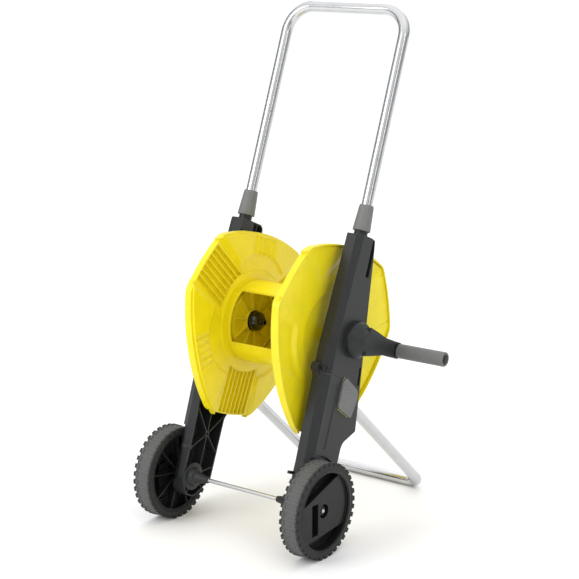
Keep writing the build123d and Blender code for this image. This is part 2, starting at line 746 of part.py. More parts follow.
def three_lobes(inset):
    """The three-lobed outline of a flange, set in by a margin."""
    corner = FLANGE_CORNER_R - inset
    with BuildSketch() as outline:
        with BuildLine():
            for at in SHORT_ANGLES:
                first = at - FLANGE_SHORT_HALF
                last = at + FLANGE_SHORT_HALF
                ThreePointArc(
                    polar(corner, first), polar(FLANGE_SHORT_R - inset, at), polar(corner, last)
                )
                ThreePointArc(
                    polar(corner, last),
                    polar(FLANGE_LONG_R - inset, at + 60),
                    polar(corner, first + 120),
                )
        make_face()
        fillet(outline.vertices(), FLANGE_FILLET_R - inset)
    return outline.sketch


flange_outline = three_lobes(0)
flange_inside = three_lobes(LIP_WALL)


def web_band(near, far):
    """The conical layer of the web between two depths behind its inner face."""
    rise = WEB_SLOPE * (WEB_FAR_R - HUB_RING_R)
    drop = WEB_SLOPE * (HUB_RING_R - WEB_NEAR_R)
    return turned(
        [
            (WEB_X + near - drop, WEB_NEAR_R),
            (WEB_X + near + rise, WEB_FAR_R),
            (WEB_X + far + rise, WEB_FAR_R),
            (WEB_X + far - drop, WEB_NEAR_R),
        ],
        DRUM_SECTION,
        DRUM_AXIS,
    )


with BuildPart() as slat_gaps:
    with BuildSketch(drum_plane(WEB_X - 20)):
        gaps = [(i - (SLAT_COUNT - 2) / 2) * SLAT_PITCH for i in range(SLAT_COUNT - 1)]
        for at in SHORT_ANGLES:
            for gap in gaps:
                x, y = polar(FLANGE_CORNER_R / 2, at)
                across_x, across_y = polar(gap, at + 90)
                with Locations(Location((x + across_x, y + across_y, 0), (0, 0, at))):
                    Rectangle(FLANGE_CORNER_R, SLAT_PITCH - RIB)
        Circle(HUB_RING_R + 1.5, mode=Mode.SUBTRACT)
        add(flange_inside, mode=Mode.INTERSECT)
    extrude(amount=60)
    add(web_band(-20, FLANGE_PAD - FLANGE_SKIN), mode=Mode.INTERSECT)

with BuildPart() as lobe_recesses:
    with BuildSketch(drum_plane(WEB_X - 20)):
        add(flange_inside)
        Circle(HUB_RING_R - 2, mode=Mode.SUBTRACT)
        for at in SHORT_ANGLES:
            x, y = polar(FLANGE_CORNER_R / 2 + 20, at)
            with Locations(Location((x, y, 0), (0, 0, at))):
                Rectangle(FLANGE_CORNER_R, SLAT_COUNT * SLAT_PITCH, mode=Mode.SUBTRACT)
    extrude(amount=80)
    add(web_band(FLANGE_SKIN, 40), mode=Mode.INTERSECT)

with BuildPart() as flange_right:
    add(web_band(0, FLANGE_PAD))
    with BuildSketch(drum_plane(RIM_X - 60)):
        add(flange_outline)
    extrude(amount=120, mode=Mode.INTERSECT)
    add(slat_gaps.part, mode=Mode.SUBTRACT)
    add(lobe_recesses.part, mode=Mode.SUBTRACT)
    # Raised lip along the three-lobed outline.
    with BuildSketch(drum_plane(RIM_X - LIP_DEPTH - 3)):
        add(flange_outline)
        add(flange_inside, mode=Mode.SUBTRACT)
    extrude(amount=LIP_DEPTH + 3)
    # Hub ring around the barrel, end wall, hub and spokes.
    add(
        turned(
            [
                (WEB_X - 2.5, BARREL_R + 0.1),
                (WEB_X - 2.5, HUB_RING_R - 6),
                (WEB_X, HUB_RING_R),
                (WEB_X + FLANGE_PAD, HUB_RING_R),
                (WEB_X + FLANGE_PAD, BARREL_R + 0.1),
            ],
            DRUM_SECTION,
            DRUM_AXIS,
        )
    )
    with BuildSketch(drum_plane(END_WALL_X)):
        Circle(BARREL_R + 1)
    extrude(amount=FLANGE_SKIN)
    with BuildSketch(drum_plane(END_WALL_X - SPOKE_DEPTH)):
        Circle(SPOKE_RING_R)
        Circle(SPOKE_RING_R - RIB, mode=Mode.SUBTRACT)
        Circle(CONNECTOR_R + 4)
        Circle(CONNECTOR_R + 2, mode=Mode.SUBTRACT)
        with PolarLocations((SPOKE_RING_R + CONNECTOR_R + 2) / 2, SPOKE_COUNT, start_angle=20):
            Rectangle(SPOKE_RING_R - CONNECTOR_R - 4, RIB)
    extrude(amount=SPOKE_DEPTH)
    with BuildSketch(drum_plane(END_WALL_X)):
        Circle(SHAFT_R + 4)
    extrude(amount=RIM_X - END_WALL_X)
    with BuildSketch(drum_plane(0)):
        Circle(SHAFT_R)
    extrude(amount=RIM_X + 25, mode=Mode.SUBTRACT)
save("flange_right", flange_right)
save("flange_left", mirrored(flange_right.part))

with BuildPart() as barrel:
    with BuildSketch(drum_plane(-BARREL_END)):
        Circle(BARREL_R)
        Circle(BARREL_R - BARREL_WALL, mode=Mode.SUBTRACT)
    extrude(amount=2 * BARREL_END)
    # Window at the front that the end of the hose goes in through.
    with BuildSketch(drum_plane(-WINDOW_HALF_X)):
        with BuildLine():
            Polyline(
                (0, 0),
                polar(2 * BARREL_R, WINDOW_FROM),
                polar(2 * BARREL_R, (WINDOW_FROM + WINDOW_TO) / 2),
                polar(2 * BARREL_R, WINDOW_TO),
                close=True,
            )
        make_face()
    extrude(amount=2 * WINDOW_HALF_X, mode=Mode.SUBTRACT)
save("barrel", barrel)

# ---- Shafts and water way --------------------------------------------------------------------
ELBOW_IN = CRANK_BASE_X + 1.0  # distance of the elbow's inner end from the middle of the cart
ELBOW_OUT = ELBOW_IN + 27.0
ELBOW_R = 13.0
SHAFT_END = ELBOW_OUT - 4.0
SEAL_AT = [ELBOW_OUT - 9.0, ELBOW_OUT - 14.0]
SEAL_WIDTH = 2.2
SEAL_R = 0.8
SEAL_FLOOR = SHAFT_R - 1.7
CLIP_AT = ELBOW_IN + 3.4
CLIP_WIDTH = 1.4
CLIP_GROOVE = 1.2
CONNECTOR_TIP = 50.0
CONNECTOR_BORE = 3.4
CONNECTOR_SEAT = CONNECTOR_TIP + 14.0

with BuildPart() as inlet_shaft:
    with BuildSketch(drum_plane(-SHAFT_END)):
        Circle(SHAFT_R)
    extrude(amount=SHAFT_END - CONNECTOR_SEAT)
    with BuildSketch(drum_plane(-SHAFT_END)):
        Circle(WATER_R)
    extrude(amount=SHAFT_END, mode=Mode.SUBTRACT)
    for at in SEAL_AT:
        with BuildSketch(drum_plane(-at - SEAL_WIDTH / 2)):
            Circle(SHAFT_R + 1)
            Circle(SEAL_FLOOR, mode=Mode.SUBTRACT)
        extrude(amount=SEAL_WIDTH, mode=Mode.SUBTRACT)
    with BuildSketch(drum_plane(-CLIP_AT - CLIP_WIDTH / 2 - CLEAR)):
        Circle(SHAFT_R + 1)
        Circle(SHAFT_R - CLIP_GROOVE, mode=Mode.SUBTRACT)
    extrude(amount=CLIP_WIDTH + 2 * CLEAR, mode=Mode.SUBTRACT)
save("inlet_shaft", inlet_shaft)

with BuildPart() as shaft_seals:
    for at in SEAL_AT:
        with BuildSketch(DRUM_SECTION):
            with Locations((-at, SEAL_FLOOR + SEAL_R + 0.03)):
                Circle(SEAL_R)
        revolve(axis=DRUM_AXIS)
save("shaft_seals", shaft_seals)

with BuildPart() as hose_connector:
    add(
        turned(
            [
                (-END_WALL_X + 0.1, SHAFT_R),
                (-END_WALL_X + 0.1, CONNECTOR_R - 3),
                (-END_WALL_X + 3, CONNECTOR_R),
                (-CONNECTOR_TIP - 15, CONNECTOR_R),
                (-CONNECTOR_TIP - 11, CONNECTOR_R - 1.2),
                (-CONNECTOR_TIP - 8, CONNECTOR_R - 4.5),
                (-CONNECTOR_TIP - 7, CONNECTOR_R - 9),
                (-CONNECTOR_TIP - 5, 6),
                (-CONNECTOR_TIP, 5.6),
                (-CONNECTOR_TIP, CONNECTOR_BORE),
                (-CONNECTOR_SEAT, CONNECTOR_BORE),
                (-CONNECTOR_SEAT, SHAFT_R),
            ],
            DRUM_SECTION,
            DRUM_AXIS,
        )
    )
save("hose_connector", hose_connector)

DRIVE_END = CRANK_BASE_X + 12.0
with BuildPart() as drive_shaft:
    with BuildSketch(drum_plane(END_WALL_X - 4)):
        Circle(SHAFT_R)
    extrude(amount=DRIVE_END - END_WALL_X + 4)
    with BuildSketch(drum_plane(DRIVE_END - 26)):
        Circle(2.2)
    extrude(amount=30, mode=Mode.SUBTRACT)
save("drive_shaft", drive_shaft)

# ---- Crank --------------------------------------------------------------------------------------
CRANK_TOP_X = CRANK_BASE_X + CRANK_HEIGHT
ARM_IN_X = CRANK_BASE_X + 6.6
EAR_R = 9.0
PIVOT_X = GRIP_ROOT_X - EAR_R - 0.5
ARM_HALF = 14.0
SLOT_HALF = 8.0
FOLD_PIN_R = 2.0
CAP_SEAT_X = CRANK_TOP_X - 4.0
SCREW_SEAT_X = CAP_SEAT_X - 3.0


def crank_plane(x):
    """Plane square to the drum's axis, turned with the leg: local x is w, local y is u."""
    return leg_plane(x, DRUM_W, DRUM_U)


def pivot_frame(offset_u=0.0):
    """Plane square to the fold pin: local x is w, local y is -X, from the pin's middle."""
    origin = leg_point(PIVOT_X, DRUM_W + CRANK_REACH, DRUM_U + offset_u)
    return Plane(origin=origin, x_dir=leg_direction(0, 1, 0), z_dir=leg_direction(0, 0, 1))


with BuildPart() as crank_arm:
    add(
        turned(
            [
                (CRANK_BASE_X, 0),
                (CRANK_BASE_X, CRANK_R),
                (CRANK_BASE_X + 4.5, CRANK_R - 0.4),
                (CRANK_BASE_X + 10, CRANK_R - 3.4),
                (CRANK_BASE_X + 15, CRANK_R - 8.4),
                (CRANK_BASE_X + 19, CRANK_R - 13),
                (CRANK_TOP_X - 1, CRANK_CAP_R + 2.2),
                (CRANK_TOP_X, CRANK_CAP_R + 1.4),
                (CRANK_TOP_X, 0),
            ],
            DRUM_SECTION,
            DRUM_AXIS,
        )
    )
    with BuildSketch(crank_plane(ARM_IN_X)):
        with BuildLine():
            Polyline(
                (0, CRANK_R - 8),
                (22, CRANK_R - 11.5),
                (50, ARM_HALF + 1),
                (80, ARM_HALF),
                (CRANK_REACH + EAR_R, ARM_HALF),
                (CRANK_REACH + EAR_R, -ARM_HALF),
                (80, -ARM_HALF),
                (50, -ARM_HALF - 1),
                (22, -CRANK_R + 11.5),
                (0, -CRANK_R + 8),
                close=True,
            )
        make_face()
    extrude(amount=CRANK_TOP_X - ARM_IN_X)
    # Hollow underside of the dome.
    with BuildSketch(crank_plane(CRANK_BASE_X)):
        Circle(CRANK_R - 4)
        Circle(SHAFT_R + 4, mode=Mode.SUBTRACT)
    extrude(amount=5, mode=Mode.SUBTRACT)
    # Fork: the end is rounded about the fold pin, and a slot runs in from the end.
    with BuildSketch(pivot_frame(-2 * ARM_HALF)):
        Rectangle(80, 80)
        with Locations((-40, 0)):
            Rectangle(80, 80, mode=Mode.SUBTRACT)
        Circle(EAR_R, mode=Mode.SUBTRACT)
    extrude(amount=4 * ARM_HALF, mode=Mode.SUBTRACT)
    with BuildSketch(pivot_frame(-SLOT_HALF)):
        with Locations((50 - GRIP_R - 2, 0)):
            Rectangle(100, 100)
    extrude(amount=2 * SLOT_HALF, mode=Mode.SUBTRACT)
    with BuildSketch(pivot_frame(-2 * ARM_HALF)):
        Circle(FOLD_PIN_R)
    extrude(amount=4 * ARM_HALF, mode=Mode.SUBTRACT)
    # Bores: shaft, screw, screw head and the seat of the cap.
    for start, radius in [
        (CRANK_BASE_X - 1, 2.4),
        (SCREW_SEAT_X, 6),
        (CAP_SEAT_X, CRANK_CAP_R),
    ]:
        with BuildSketch(crank_plane(start)):
            Circle(radius)
        extrude(amount=2 * CRANK_HEIGHT, mode=Mode.SUBTRACT)
    with BuildSketch(crank_plane(CRANK_BASE_X - 1)):
        Circle(SHAFT_R)
    extrude(amount=DRIVE_END - CRANK_BASE_X + 1, mode=Mode.SUBTRACT)
save("crank_arm", crank_arm)

with BuildPart() as crank_cap:
    with BuildSketch(crank_plane(CAP_SEAT_X)):
        Circle(CRANK_CAP_R - 0.4)
    extrude(amount=CRANK_TOP_X - CAP_SEAT_X + 0.4)
    fillet(crank_cap.edges().group_by(Axis.X)[-1], 0.8)
save("crank_cap", crank_cap)

with BuildPart() as crank_screw:
    with BuildSketch(crank_plane(SCREW_SEAT_X)):
        Circle(4.6)
    extrude(amount=2.6)
    with BuildSketch(crank_plane(SCREW_SEAT_X)):
        Circle(2.1)
    extrude(amount=-26)
    with BuildSketch(crank_plane(SCREW_SEAT_X + 1.4)):
        RegularPolygon(2.4, 6)
    extrude(amount=2, mode=Mode.SUBTRACT)
save("crank_screw", crank_screw)

with BuildPart() as fold_pin:
    with BuildSketch(pivot_frame(-ARM_HALF)):
        Circle(FOLD_PIN_R)
    extrude(amount=2 * ARM_HALF)
save("fold_pin", fold_pin)

# ---- Folding grip ---------------------------------------------------------------------------------
SPINDLE_R = 5.0
GRIP_END_X = GRIP_ROOT_X + GRIP_LENGTH
GRIP_HOLLOW = 16.0
RING_X = GRIP_END_X - GRIP_HOLLOW + CLEAR


def grip_plane(x):
    """Plane square to the grip's axis."""
    return leg_plane(x, DRUM_W + CRANK_REACH, DRUM_U)


with BuildPart() as grip_spindle:
    with BuildSketch(pivot_frame(-SLOT_HALF + CLEAR)):
        Circle(EAR_R - 1.4)
    extrude(amount=2 * (SLOT_HALF - CLEAR))
    with BuildSketch(grip_plane(PIVOT_X)):
        Circle(SPINDLE_R)
    extrude(amount=RING_X + 3 - PIVOT_X)
    with BuildSketch(pivot_frame(-SLOT_HALF)):
        Circle(FOLD_PIN_R + RUN)
    extrude(amount=2 * SLOT_HALF, mode=Mode.SUBTRACT)
save("grip_spindle", grip_spindle)

with BuildPart() as grip_ring:
    with BuildSketch(grip_plane(RING_X)):
        Circle(SPINDLE_R + 2.6)
        Circle(SPINDLE_R, mode=Mode.SUBTRACT)
    extrude(amount=1.6)
save("grip_ring", grip_ring)

with BuildPart() as crank_grip:
    with BuildSketch(grip_plane(GRIP_ROOT_X)):
        Circle(GRIP_R)
    extrude(amount=GRIP_LENGTH)
    fillet(crank_grip.edges().filter_by(GeomType.CIRCLE), 1.6)
    with BuildSketch(grip_plane(GRIP_ROOT_X)):
        Circle(SPINDLE_R + RUN)
    extrude(amount=GRIP_LENGTH, mode=Mode.SUBTRACT)
    with BuildSketch(grip_plane(GRIP_END_X - GRIP_HOLLOW)):
        Circle(GRIP_R - 3.4)
    extrude(amount=GRIP_HOLLOW, mode=Mode.SUBTRACT)
save("crank_grip", crank_grip)

# ---- Wheels -------------------------------------------------------------------------------------
HUB_R = 8.0
HUB_CUP_R = 12.0
HUB_END = WHEEL_OUT - 12.0
WHEEL_FACE_X = WHEEL_OUT - 5.0
DISC_THICK = 2.6
RIM_WALL = 3.5
POCKET_X = WHEEL_OUT - 20.0
SEGMENTS = [(108.0, 36.4), (275.0, 40.4)]  # direction and distance of each chord
POCKET_CENTRE = (-24.5, -9.0)
POCKET_SIZE = (17.0, 54.0)
LUG_DEPTH = 1.6
LUG_WIDTH = 8.5

with BuildPart() as tyre_right:
    tread = WHEEL_R - LUG_DEPTH
    add(
        turned(
            [
                (WHEEL_IN + 2.5, RIM_R),
                (WHEEL_IN, RIM_R + 2),
                (WHEEL_IN, tread - 4),
                (WHEEL_IN + 3, tread),
                (WHEEL_OUT - 3, tread),
                (WHEEL_OUT, tread - 4),
                (WHEEL_OUT, RIM_R + 2),
                (WHEEL_OUT - 2.5, RIM_R),
            ],
            WHEEL_SECTION,
            WHEEL_AXIS,
        )
    )
    for start in (WHEEL_IN, WHEEL_OUT - LUG_WIDTH):
        with BuildSketch(wheel_plane(start)):
            with PolarLocations(WHEEL_R - 3, LUG_COUNT, start_angle=-90):
                Rectangle(6.4, 7.6)
        extrude(amount=LUG_WIDTH)
    with BuildSketch(wheel_plane(WHEEL_IN - 1)):
        Circle(WHEEL_R)
    extrude(amount=WHEEL_WIDTH + 2, mode=Mode.INTERSECT)
save("tyre_right", tyre_right)
save("tyre_left", mirrored(tyre_right.part))


def chord_region(angle, distance):
    """Corners of the region of the wheel beyond a chord."""
    reach = 2 * WHEEL_R
    x, y = polar(distance, angle)
    far_x, far_y = polar(distance + reach, angle)
    side_x, side_y = polar(reach, angle + 90)
    return [
        (x + side_x, y + side_y),
        (x - side_x, y - side_y),
        (far_x - side_x, far_y - side_y),
        (far_x + side_x, far_y + side_y),
    ]


with BuildPart() as wheel_right:
    add(
        turned(
            [
                (WHEEL_IN + 2.5, RIM_R - RIM_WALL),
                (WHEEL_IN + 2.5, RIM_R),
                (WHEEL_OUT - 2.5, RIM_R),
                (WHEEL_OUT, RIM_R + 1.9),
                (WHEEL_OUT + 0.4, RIM_R - 1),
                (WHEEL_OUT - 1, RIM_R - RIM_WALL),
            ],
            WHEEL_SECTION,
            WHEEL_AXIS,
        )
    )
    with BuildSketch(wheel_plane(WHEEL_FACE_X - DISC_THICK)):
        Circle(RIM_R - 2)
    extrude(amount=DISC_THICK)
    # Deep segments beyond two chords, and a deep slot beside the hub.
    for angle, distance in SEGMENTS:
        with BuildSketch(wheel_plane(POCKET_X)):
            Circle(RIM_R - 2)
            with BuildLine():
                Polyline(*chord_region(angle, distance - RIB), close=True)
            make_face(mode=Mode.INTERSECT)
        extrude(amount=WHEEL_FACE_X - POCKET_X)
        with BuildSketch(wheel_plane(POCKET_X + RIB)):
            Circle(RIM_R - RIM_WALL)
            with BuildLine():
                Polyline(*chord_region(angle, distance), close=True)
            make_face(mode=Mode.INTERSECT)
        extrude(amount=WHEEL_WIDTH, mode=Mode.SUBTRACT)
    with BuildSketch(wheel_plane(POCKET_X)):
        with Locations(POCKET_CENTRE):
            Rectangle(POCKET_SIZE[0] + 2 * RIB, POCKET_SIZE[1] + 2 * RIB)
    extrude(amount=WHEEL_FACE_X - POCKET_X)
    with BuildSketch(wheel_plane(POCKET_X + RIB)):
        with Locations(POCKET_CENTRE):
            Rectangle(*POCKET_SIZE)
    extrude(amount=WHEEL_WIDTH, mode=Mode.SUBTRACT)
    # Ribs behind the disc, as deep as the pockets leave room for.
    with BuildSketch(wheel_plane(WHEEL_IN + 3)):
        with PolarLocations((RIM_R + HUB_R) / 2 - 1, 9, start_angle=10):
            Rectangle(RIM_R - HUB_R - 1, RIB)
    extrude(amount=POCKET_X - WHEEL_IN - 2.5)
    # Hub with a cup that sinks the axle's end.
    with BuildSketch(wheel_plane(FOOT_OUT + CLEAR)):
        Circle(HUB_R)
    extrude(amount=HUB_END - FOOT_OUT - CLEAR)
    with BuildSketch(wheel_plane(HUB_END - 5)):
        Circle(HUB_CUP_R + 2)
    extrude(amount=WHEEL_FACE_X - HUB_END + 5)
    with BuildSketch(wheel_plane(HUB_END - 3)):
        Circle(HUB_CUP_R)
        Circle(HUB_R, mode=Mode.SUBTRACT)
    extrude(amount=WHEEL_WIDTH, mode=Mode.SUBTRACT)
    with BuildSketch(wheel_plane(HUB_END)):
        Circle(HUB_CUP_R)
    extrude(amount=WHEEL_WIDTH, mode=Mode.SUBTRACT)
    with BuildSketch(wheel_plane(LEG_IN)):
        Circle(AXLE_R + RUN)
    extrude(amount=2 * WHEEL_WIDTH, mode=Mode.SUBTRACT)
save("wheel_right", wheel_right)
save("wheel_left", mirrored(wheel_right.part))

# ---- Water inlet on the left leg ------------------------------------------------------------------
NIPPLE_R = 7.5
NIPPLE_LENGTH = 12.0
NIPPLE_ROOT = 27.0
NIPPLE_BORE = 4.5
NIPPLE_PLANE = Plane(
    origin=(-(CLIP_AT + ELBOW_OUT) / 2 - 1, DRUM.Y, DRUM.Z),
    x_dir=(1, 0, 0),
    z_dir=leg_direction(0, 1, 0),
)

with BuildPart() as inlet_elbow:
    with BuildSketch(drum_plane(-ELBOW_OUT)):
        Circle(ELBOW_R)
    extrude(amount=ELBOW_OUT - ELBOW_IN)
    fillet(inlet_elbow.edges().group_by(Axis.X)[0], 3)
    for start, end, radius in [
        (0, NIPPLE_ROOT - 7, NIPPLE_R + 2),
        (NIPPLE_ROOT - 7, NIPPLE_ROOT - 3, NIPPLE_R + 4),
        (NIPPLE_ROOT - 3, NIPPLE_ROOT, NIPPLE_R - 1),
        (NIPPLE_ROOT, NIPPLE_ROOT + NIPPLE_LENGTH, NIPPLE_R),
    ]:
        with BuildSketch(NIPPLE_PLANE.offset(start)):
            Circle(radius)
        extrude(amount=end - start)
    with BuildSketch(drum_plane(-SHAFT_END - CLEAR)):
        Circle(SHAFT_R + RUN)
    extrude(amount=SHAFT_END + CLEAR, mode=Mode.SUBTRACT)
    with BuildSketch(drum_plane(-CLIP_AT - CLIP_WIDTH / 2)):
        Circle(ELBOW_R - 2)
    extrude(amount=CLIP_WIDTH, mode=Mode.SUBTRACT)
    with BuildSketch(NIPPLE_PLANE.offset(5)):
        Circle(NIPPLE_BORE)
    extrude(amount=60, mode=Mode.SUBTRACT)
save("inlet_elbow", inlet_elbow)

with BuildPart() as inlet_clip:
    with BuildSketch(drum_plane(-CLIP_AT - CLIP_WIDTH / 2)):
        Circle(ELBOW_R - 2)
        Circle(SHAFT_R - CLIP_GROOVE + CLEAR, mode=Mode.SUBTRACT)
    extrude(amount=CLIP_WIDTH)
save("inlet_clip", inlet_clip)
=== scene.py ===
import json
from math import cos, pi, radians, sin

import bmesh
import bpy
import numpy as np
from mathutils import Matrix, Vector


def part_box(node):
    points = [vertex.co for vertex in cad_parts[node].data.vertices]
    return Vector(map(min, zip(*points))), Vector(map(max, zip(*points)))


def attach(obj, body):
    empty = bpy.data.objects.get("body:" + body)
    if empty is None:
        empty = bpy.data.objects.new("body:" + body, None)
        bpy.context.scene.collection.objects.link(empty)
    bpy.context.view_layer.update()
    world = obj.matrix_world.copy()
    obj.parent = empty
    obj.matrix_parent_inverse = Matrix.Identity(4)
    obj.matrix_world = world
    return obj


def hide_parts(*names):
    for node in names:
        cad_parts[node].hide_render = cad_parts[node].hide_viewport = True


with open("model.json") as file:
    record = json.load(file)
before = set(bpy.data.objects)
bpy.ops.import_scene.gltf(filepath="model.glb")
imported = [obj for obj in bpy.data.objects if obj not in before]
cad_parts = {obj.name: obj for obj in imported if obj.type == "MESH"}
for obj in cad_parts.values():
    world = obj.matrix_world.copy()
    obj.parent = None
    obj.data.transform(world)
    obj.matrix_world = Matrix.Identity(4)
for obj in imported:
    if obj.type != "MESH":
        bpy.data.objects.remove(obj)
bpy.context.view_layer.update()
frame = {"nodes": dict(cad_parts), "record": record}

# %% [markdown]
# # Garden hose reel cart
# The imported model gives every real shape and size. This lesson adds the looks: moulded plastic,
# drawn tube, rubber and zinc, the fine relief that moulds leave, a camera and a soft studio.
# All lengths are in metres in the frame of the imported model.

LEAN = radians(21.0)
WHEEL_R = 0.081
DRUM_U = 0.2868
DRUM_W = 0.0275
DRUM_Y = DRUM_U * sin(LEAN) + DRUM_W * cos(LEAN)
DRUM_Z = WHEEL_R + DRUM_U * cos(LEAN) - DRUM_W * sin(LEAN)
ALONG_LEG = Vector((0.0, sin(LEAN), cos(LEAN)))

# %% [markdown]
# ## Node groups
# Effects that several materials share live in groups: rounded edges with a moulded grain, and
# a soft unevenness of gloss.

# %% helpers for shader nodes


def link(tree, source, target):
    tree.links.new(source, target)


def math_node(tree, operation, first, second=None, third=None):
    """A maths node whose inputs are sockets or plain numbers."""
    node = tree.nodes.new("ShaderNodeMath")
    node.operation = operation
    for socket, value in zip(node.inputs, (first, second, third)):
        if value is None:
            continue
        if isinstance(value, bpy.types.NodeSocket):
            link(tree, value, socket)
        else:
            socket.default_value = value
    return node.outputs[0]


def noise_node(tree, vector, scale, detail=3.0, roughness=0.55):
    """Noise at a scale in features per metre."""
    node = tree.nodes.new("ShaderNodeTexNoise")
    node.inputs["Scale"].default_value = scale
    node.inputs["Detail"].default_value = detail
    node.inputs["Roughness"].default_value = roughness
    link(tree, vector, node.inputs["Vector"])
    return node.outputs[0]


def map_range(tree, value, from_min, from_max, to_min, to_max):
    """Clamped linear map of a value."""
    node = tree.nodes.new("ShaderNodeMapRange")
    link(tree, value, node.inputs["Value"])
    for name, number in zip(
        ("From Min", "From Max", "To Min", "To Max"), (from_min, from_max, to_min, to_max)
    ):
        node.inputs[name].default_value = number
    return node.outputs[0]


def group_with(name, inputs, outputs):
    """An empty node group with float or vector sockets."""
    tree = bpy.data.node_groups.new(name, "ShaderNodeTree")
    for title, kind, value in inputs:
        socket = tree.interface.new_socket(title, in_out="INPUT", socket_type=kind)
        if value is not None:
            socket.default_value = value
    for title, kind in outputs:
        tree.interface.new_socket(title, in_out="OUTPUT", socket_type=kind)
    return tree, tree.nodes.new("NodeGroupInput"), tree.nodes.new("NodeGroupOutput")


FLOAT = "NodeSocketFloat"
VECTOR = "NodeSocketVector"


def make_surface_group():
    """Moulded skin: rounded edges, fine grain and uneven gloss, with an extra height on top.

    height = grain * noise(2600 p) + relief, and gloss varies by noise(35 p) and noise(400 p).
    """
    tree, inside, outside = group_with(
        "Moulded Skin",
        [
            ("Vector", VECTOR, None),
            ("Relief", FLOAT, 0.0),
            ("Relief Depth", FLOAT, 0.001),
            ("Grain", FLOAT, 0.15),
            ("Grain Scale", FLOAT, 2600.0),
            ("Roughness", FLOAT, 0.45),
            ("Spread", FLOAT, 0.08),
            ("Edge", FLOAT, 0.0007),
        ],
        [("Roughness", FLOAT), ("Normal", VECTOR), ("Edge Mask", FLOAT), ("Mottle", FLOAT)],
    )
    vector = inside.outputs["Vector"]
    bevel = tree.nodes.new("ShaderNodeBevel")
    bevel.samples = 6
    link(tree, inside.outputs["Edge"], bevel.inputs["Radius"])
    geometry = tree.nodes.new("ShaderNodeNewGeometry")
    facing = tree.nodes.new("ShaderNodeVectorMath")
    facing.operation = "DOT_PRODUCT"
    link(tree, bevel.outputs[0], facing.inputs[0])
    link(tree, geometry.outputs["Normal"], facing.inputs[1])
    # Edge Mask marks the rounded edges, where the materials paint a highlight.
    edge = map_range(tree, facing.outputs["Value"], 0.99, 0.80, 0.0, 1.0)
    fine = tree.nodes.new("ShaderNodeTexNoise")
    fine.inputs["Detail"].default_value = 2.0
    link(tree, vector, fine.inputs["Vector"])
    link(tree, inside.outputs["Grain Scale"], fine.inputs["Scale"])
    relief_bump = tree.nodes.new("ShaderNodeBump")
    relief_bump.inputs["Strength"].default_value = 1.0
    link(tree, inside.outputs["Relief"], relief_bump.inputs["Height"])
    link(tree, inside.outputs["Relief Depth"], relief_bump.inputs["Distance"])
    link(tree, bevel.outputs[0], relief_bump.inputs["Normal"])
    grain_bump = tree.nodes.new("ShaderNodeBump")
    grain_bump.inputs["Distance"].default_value = 0.0002
    link(tree, inside.outputs["Grain"], grain_bump.inputs["Strength"])
    link(tree, fine.outputs[0], grain_bump.inputs["Height"])
    link(tree, relief_bump.outputs[0], grain_bump.inputs["Normal"])
    broad = noise_node(tree, vector, 35.0)
    middle = noise_node(tree, vector, 400.0)
    mottle = math_node(
        tree, "ADD",
        math_node(tree, "MULTIPLY", broad, 0.6),
        math_node(tree, "MULTIPLY", middle, 0.4),
    )
    swing = math_node(tree, "SUBTRACT", mottle, 0.5)
    gloss = math_node(tree, "MULTIPLY_ADD", swing, inside.outputs["Spread"], inside.outputs["Roughness"])
    link(tree, gloss, outside.inputs["Roughness"])
    link(tree, grain_bump.outputs[0], outside.inputs["Normal"])
    link(tree, edge, outside.inputs["Edge Mask"])
    link(tree, mottle, outside.inputs["Mottle"])
    return tree


SKIN = make_surface_group()


def mixed_colour(tree, factor, first, second):
    """Mix of two linear colours by a socket."""
    node = tree.nodes.new("ShaderNodeMix")
    node.data_type = "RGBA"
    link(tree, factor, node.inputs["Factor"])
    node.inputs[6].default_value = (*first, 1.0)
    if isinstance(second, bpy.types.NodeSocket):
        link(tree, second, node.inputs[7])
    else:
        node.inputs[7].default_value = (*second, 1.0)
    return node.outputs[2]


def skin_material(
    name, colour, roughness, edge_highlight_colour=None, grain=0.15, grain_scale=2600.0, spread=0.08,
    edge=0.0007, relief=None, relief_depth=0.001, metallic=0.0, specular=0.5, coat=0.0, tint=None,
    tint_colour=(0.0, 0.0, 0.0),
):
    """A Principled material on the shared skin group.

    relief is a function of the tree and the Object coordinates that gives a height socket, and
    tint is one that gives the share of tint_colour.
    """
    material = bpy.data.materials.new(name)
    material.use_nodes = True
    tree = material.node_tree
    shader = tree.nodes["Principled BSDF"]
    coordinates = tree.nodes.new("ShaderNodeTexCoord").outputs["Object"]
    skin = tree.nodes.new("ShaderNodeGroup")
    skin.node_tree = SKIN
    link(tree, coordinates, skin.inputs["Vector"])
    if relief is not None:
        link(tree, relief(tree, coordinates), skin.inputs["Relief"])
    skin.inputs["Relief Depth"].default_value = relief_depth
    skin.inputs["Grain"].default_value = grain
    skin.inputs["Grain Scale"].default_value = grain_scale
    skin.inputs["Roughness"].default_value = roughness
    skin.inputs["Spread"].default_value = spread
    skin.inputs["Edge"].default_value = edge
    shade = tuple(0.82 * c for c in colour)
    base = mixed_colour(tree, skin.outputs["Mottle"], shade, tuple(min(1.0, 1.18 * c) for c in colour))
    # Painted highlight: rounded edges are lightened towards the edge highlight colour, standing in for
    # the light that edges catch.
    if edge_highlight_colour is not None:
        painted_edge_highlight = mixed_colour(tree, skin.outputs["Edge Mask"], (0, 0, 0), edge_highlight_colour)
        link(tree, base, painted_edge_highlight.node.inputs[6])
        base = painted_edge_highlight
    if tint is not None:
        tinted = mixed_colour(tree, tint(tree, coordinates), (0, 0, 0), tint_colour)
        link(tree, base, tinted.node.inputs[6])
        base = tinted
    link(tree, base, shader.inputs["Base Color"])
    link(tree, skin.outputs["Roughness"], shader.inputs["Roughness"])
    link(tree, skin.outputs["Normal"], shader.inputs["Normal"])
    shader.inputs["Metallic"].default_value = metallic
    shader.inputs["Specular IOR Level"].default_value = specular
    shader.inputs["Coat Weight"].default_value = coat
    return material


# %% [markdown]
# ## Reliefs
# Each relief is a height made from the Object coordinates, so it stays on its piece when the
# piece turns: faint ribs on the catch, lines of drawing on the tube.

# %% reliefs


